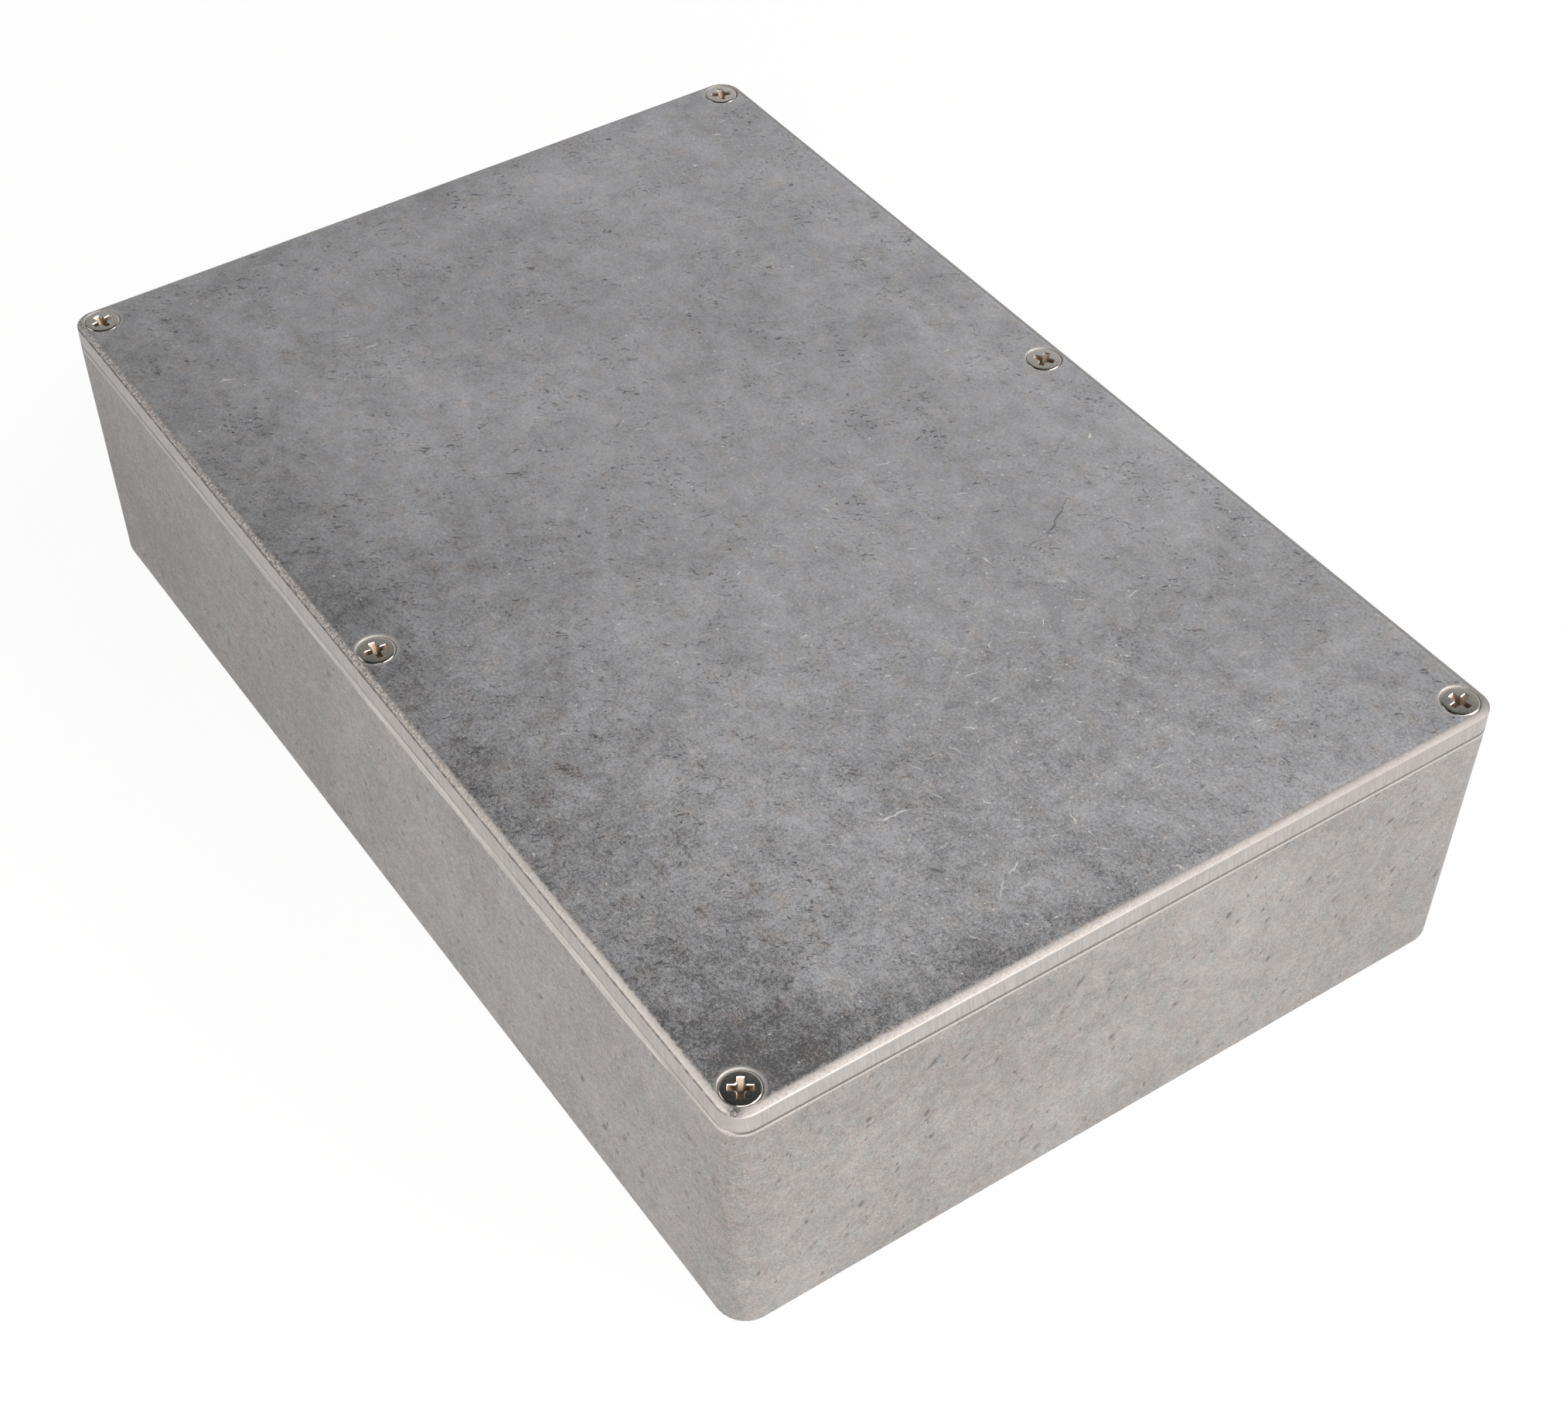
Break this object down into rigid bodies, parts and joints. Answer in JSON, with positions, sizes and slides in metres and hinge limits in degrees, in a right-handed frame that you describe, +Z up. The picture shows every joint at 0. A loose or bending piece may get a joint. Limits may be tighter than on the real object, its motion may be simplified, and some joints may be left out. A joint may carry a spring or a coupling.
{
  "type": "die cast aluminium box",
  "caption": "Low rectangular die-cast aluminium enclosure: a drafted hollow base with screw bosses, closed by a flat lid with a ground edge and countersunk screws.",
  "frame": {"origin": "centre of the underside of the base, on the surface that the box stands on", "axes": "+X along the length of the box, +Y across its width, +Z up through the lid"},
  "size_m": [0.222, 0.146, 0.055],
  "materials": {
    "cast_aluminium": "as cast, tumbled, satin",
    "cast_aluminium_lid": "as cast, dull, cloudy, with a ground bright edge",
    "plated_screw": "bright nickel plate"
  },
  "bodies": {
    "root": {"base": "cast_aluminium", "lid": "cast_aluminium_lid", "lid_screws": "plated_screw"}
  },
  "joints": []
}
